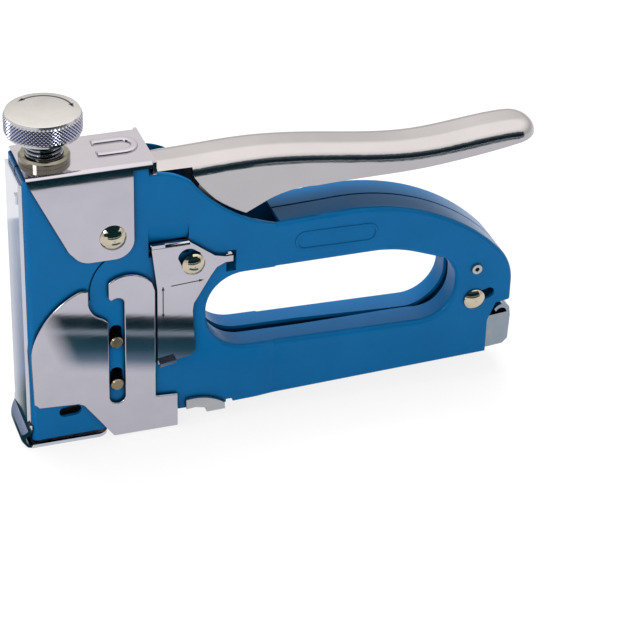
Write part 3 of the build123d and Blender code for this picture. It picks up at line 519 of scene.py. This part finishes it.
# Floor, light and camera
studio = {"floor": 6.0, "floorDrop": 0.2 * mm, "floorColour": "#F0F0F2", "floorRough": 0.9, "white": 0.8,
          "keySize": 0.9, "keyPower": 17.0, "keyAt": (0.0, 0.35, 1.0),
          "fillSize": 1.2, "fillPower": 7.0, "fillAt": (-0.5, -1.3, 0.55),
          "spotSize": 0.22, "spotPower": 2.0, "spotAt": (-0.75, -0.45, 0.55), "aim": (0, 0, 0.05),
          "flags": ((-0.20, 0.34, -0.25, 0.001, 0.048, "#5E6E78"), (-0.20, 0.34, -0.25, 0.056, 0.155, "#122E35"),
                    (-0.20, 0.34, -0.25, 0.155, 0.225, "#4C5A62"), (-0.110, 0.000, -0.045, 0.080, 0.098, "#143840")),
          "back": "#CFCBC6", "backLevel": 0.95, "gloss": (1.35, 2.9), "glossHeights": (0.2, 0.75)}


def makeFloor():
    pickOnly()
    bpy.ops.mesh.primitive_plane_add(size=studio["floor"], location=(0, 0, -studio["floorDrop"]))
    floor = bpy.context.object
    floor.name = "floor"
    material, tree, shader, _ = newMaterial("paleFloor")
    shader.inputs["Base Color"].default_value = linear(studio["floorColour"])
    shader.inputs["Roughness"].default_value = studio["floorRough"]
    seen = addNode(tree, "ShaderNodeLightPath")
    direct = addNode(tree, "ShaderNodeMath", {"operation": "MAXIMUM"},
                     {0: seen.outputs["Is Camera Ray"], 1: seen.outputs["Is Glossy Ray"]})
    share = addNode(tree, "ShaderNodeMath", {"operation": "MULTIPLY", 1: studio["white"]}, {0: direct.outputs["Value"]})
    white = addNode(tree, "ShaderNodeEmission", {"Color": (1, 1, 1, 1), "Strength": 1.0})
    mix = addNode(tree, "ShaderNodeMixShader", {}, {0: share.outputs["Value"], 1: shader.outputs["BSDF"],
                                                    2: white.outputs["Emission"]})
    tree.links.new(mix.outputs["Shader"], tree.nodes["Material Output"].inputs["Surface"])
    floor.data.materials.append(material)


def showInGlossOnly(obj):
    for ray in ("camera", "diffuse", "transmission", "volume_scatter", "shadow"):
        setattr(obj, "visible_" + ray, False)


def makeFlags():
    # Dark cards before the part, seen only in the metal, as a photographer's flags are
    for left, right, y, low, high, shade in studio["flags"]:
        material, tree, _, _ = newMaterial("flag")
        glow = addNode(tree, "ShaderNodeEmission", {"Color": linear(shade), "Strength": 1.0})
        tree.links.new(glow.outputs["Emission"], tree.nodes["Material Output"].inputs["Surface"])
        pickOnly()
        bpy.ops.mesh.primitive_plane_add(size=1.0, location=((left + right) / 2, y, (low + high) / 2),
                                         rotation=(math.pi / 2, 0, 0))
        flag = bpy.context.object
        flag.name = "flag"
        flag.scale = (right - left, high - low, 1)
        bpy.ops.object.transform_apply(location=True, rotation=True, scale=True)
        flag.data.materials.append(material)
        showInGlossOnly(flag)


# Level cards, seen only in metal: before the gate and the lock, left of the nose, and over the rivets
cards = {"gateCard": {"x": (-0.070, 0.010), "y": (-0.100, -0.024), "way": (-0.30, 0.954, 0), "span": (-0.0713, -0.033),
                      "side": (1, 0, 0), "fade": (-0.068, -0.060),
                      "bands": ((0.0, "#0C2C34", 0), (0.05, "#0C2C34", 1), (0.26, "#12363F", 1), (0.31, "#A9B8C0", 1),
                                (0.35, "#A9B8C0", 1), (0.40, "#1E4854", 1), (0.62, "#35606F", 1), (0.80, "#7F98AA", 1),
                                (1.0, "#B4BECB", 0))},
         "noseCard": {"x": (-0.170, -0.0885), "y": (-0.020, 0.140), "way": (0, 1, 0), "span": (0.0, 0.140),
                      "side": (-1, -0.2, 0), "fade": (0.086, 0.091),
                      "bands": ((0.0, "#173C46", 1), (0.15, "#1E4852", 1), (0.26, "#8593AF", 1), (1.0, "#AEB8CB", 1))},
         "rivetCard": {"x": (-0.078, -0.030), "y": (-0.045, -0.020), "z": 0.098, "way": (0, 1, 0),
                       "span": (-0.045, -0.020), "side": (1, 0, 0), "fade": (-0.080, -0.079),
                       "bands": ((0.0, "#143840", 1), (1.0, "#16343A", 1))}}


def makeCard(name):
    card = cards[name]
    (x1, x2), (y1, y2) = card["x"], card["y"]
    pickOnly()
    bpy.ops.mesh.primitive_plane_add(size=1.0, location=((x1 + x2) / 2, (y1 + y2) / 2, card.get("z", 0)))
    board = bpy.context.object
    board.name = name
    board.scale = (x2 - x1, y2 - y1, 1)
    bpy.ops.object.transform_apply(location=True, rotation=True, scale=True)
    material, tree, _, place = newMaterial(name)
    far = addNode(tree, "ShaderNodeVectorMath", {"operation": "DOT_PRODUCT", 1: card["way"]}, {0: place})
    ramp = addNode(tree, "ShaderNodeValToRGB", {}, {"Fac": remap(tree, far.outputs["Value"], card["span"])})
    bands = ramp.color_ramp.elements
    while len(bands) < len(card["bands"]):
        bands.new(0.5)
    for band, (at, colour, cover) in zip(bands, card["bands"]):
        band.position = at
        band.color = linear(colour)[:3] + (cover,)
    across = addNode(tree, "ShaderNodeVectorMath", {"operation": "DOT_PRODUCT", 1: card["side"]}, {0: place})
    fade = remap(tree, across.outputs["Value"], card["fade"])
    cover = addNode(tree, "ShaderNodeMath", {"operation": "MULTIPLY"}, {0: fade, 1: ramp.outputs["Alpha"]})
    glow = addNode(tree, "ShaderNodeEmission", {}, {"Color": ramp.outputs["Color"]})
    clear = addNode(tree, "ShaderNodeBsdfTransparent")
    mix = addNode(tree, "ShaderNodeMixShader", {}, {0: cover.outputs["Value"], 1: clear.outputs["BSDF"],
                                                    2: glow.outputs["Emission"]})
    tree.links.new(mix.outputs["Shader"], tree.nodes["Material Output"].inputs["Surface"])
    board.data.materials.append(material)
    showInGlossOnly(board)


def makeWorld():
    world = bpy.data.worlds.new("studio")
    world.use_nodes = True
    tree = world.node_tree
    shade = tree.nodes["Background"]
    seen = addNode(tree, "ShaderNodeLightPath")
    colour = mixColours(tree, seen.outputs["Is Camera Ray"], studio["back"], "#FFFFFF")
    tree.links.new(colour, shade.inputs["Color"])
    place = addNode(tree, "ShaderNodeTexCoord").outputs["Generated"]
    height = addNode(tree, "ShaderNodeSeparateXYZ", {}, {"Vector": place}).outputs["Z"]
    gloss = remap(tree, height, studio["glossHeights"], studio["gloss"])
    level = addNode(tree, "ShaderNodeMapRange", {"To Min": studio["backLevel"]},
                    {"Value": seen.outputs["Is Glossy Ray"], "To Max": gloss})
    tree.links.new(level.outputs["Result"], shade.inputs["Strength"])
    scene.world = world


def addPanel(name, size, power, place, target, glossy):
    lamp = bpy.data.lights.new(name, "AREA")
    lamp.shape = "SQUARE"
    lamp.size = size
    lamp.energy = power
    panel = bpy.data.objects.new(name, lamp)
    scene.collection.objects.link(panel)
    panel.location = place
    panel.rotation_euler = (Vector(target) - Vector(place)).to_track_quat("-Z", "Y").to_euler()
    panel.visible_glossy = glossy


# Camera fitted to the photograph: eye in the shared frame, degrees of turn, tilt and roll, focal length in pixels
shot = {"eye": (-225.5 * mm, -660.9 * mm, 473.3 * mm), "turns": (20.102, 32.472, -2.052), "film": 36.0,
        "focal": 2422, "wide": 640}


def makeCamera():
    turn, tilt, roll = (math.radians(a) for a in shot["turns"])
    ahead = Vector((math.sin(turn) * math.cos(tilt), math.cos(turn) * math.cos(tilt), -math.sin(tilt)))
    right = Vector((math.cos(turn), -math.sin(turn), 0))
    up = right.cross(ahead)
    across = math.cos(roll) * right - math.sin(roll) * up
    above = math.sin(roll) * right + math.cos(roll) * up
    lens = bpy.data.cameras.new("camera")
    lens.sensor_fit = "HORIZONTAL"
    lens.sensor_width = shot["film"]
    lens.lens = shot["film"] * shot["focal"] / shot["wide"]
    camera = bpy.data.objects.new("camera", lens)
    scene.collection.objects.link(camera)
    turned = Matrix((across, above, -ahead)).transposed().to_4x4()
    camera.matrix_world = Matrix.Translation(shot["eye"]) @ turned
    scene.camera = camera


makeFloor()
makeFlags()
for cardName in cards:
    makeCard(cardName)
makeWorld()
for lampName, glossy in (("key", False), ("fill", False), ("spot", True)):
    addPanel(lampName, studio[lampName + "Size"], studio[lampName + "Power"], studio[lampName + "At"],
             studio["aim"], glossy)
makeCamera()
scene.view_settings.view_transform = "Standard"
print("studio ready")
